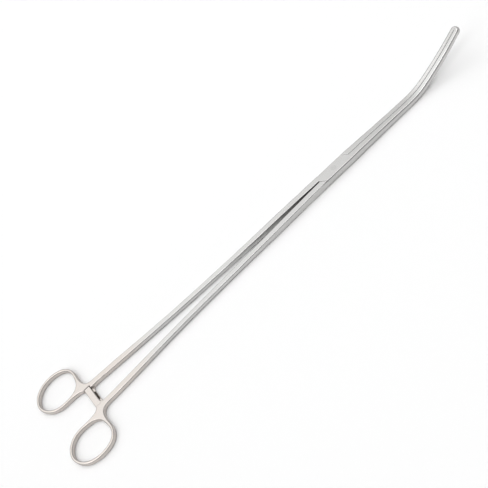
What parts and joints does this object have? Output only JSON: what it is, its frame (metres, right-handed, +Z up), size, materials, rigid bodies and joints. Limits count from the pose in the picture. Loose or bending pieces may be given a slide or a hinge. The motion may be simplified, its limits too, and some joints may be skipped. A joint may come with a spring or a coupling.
{
  "type": "curved artery clamp",
  "caption": "Long curved artery clamp with finger rings, a crossed ratchet and a box lock hinge; its round-tipped jaws sweep upward.",
  "frame": {"origin": "on the hinge axis, in the plane the clamp lies on, at the middle of the box lock's underside", "axes": "+X along the clamp to the jaw tips, +Y to the far half's finger ring, +Z up, towards the side the jaws curve to"},
  "size_m": [0.4075, 0.0834, 0.0283],
  "materials": {
    "satin_steel": "satin, forged and ground",
    "pin_steel": "ground flush"
  },
  "bodies": {
    "box_half": {"box_half": "satin_steel", "pivot_pin": "pin_steel"},
    "inset_half": {"inset_half": "satin_steel"}
  },
  "joints": [
    {"name": "jaw_hinge", "type": "hinge", "parent": "box_half", "child": "inset_half", "pos_m": [0, 0, 0.00315], "axis": [0, 0, 1], "range_deg": [0, 40]}
  ]
}
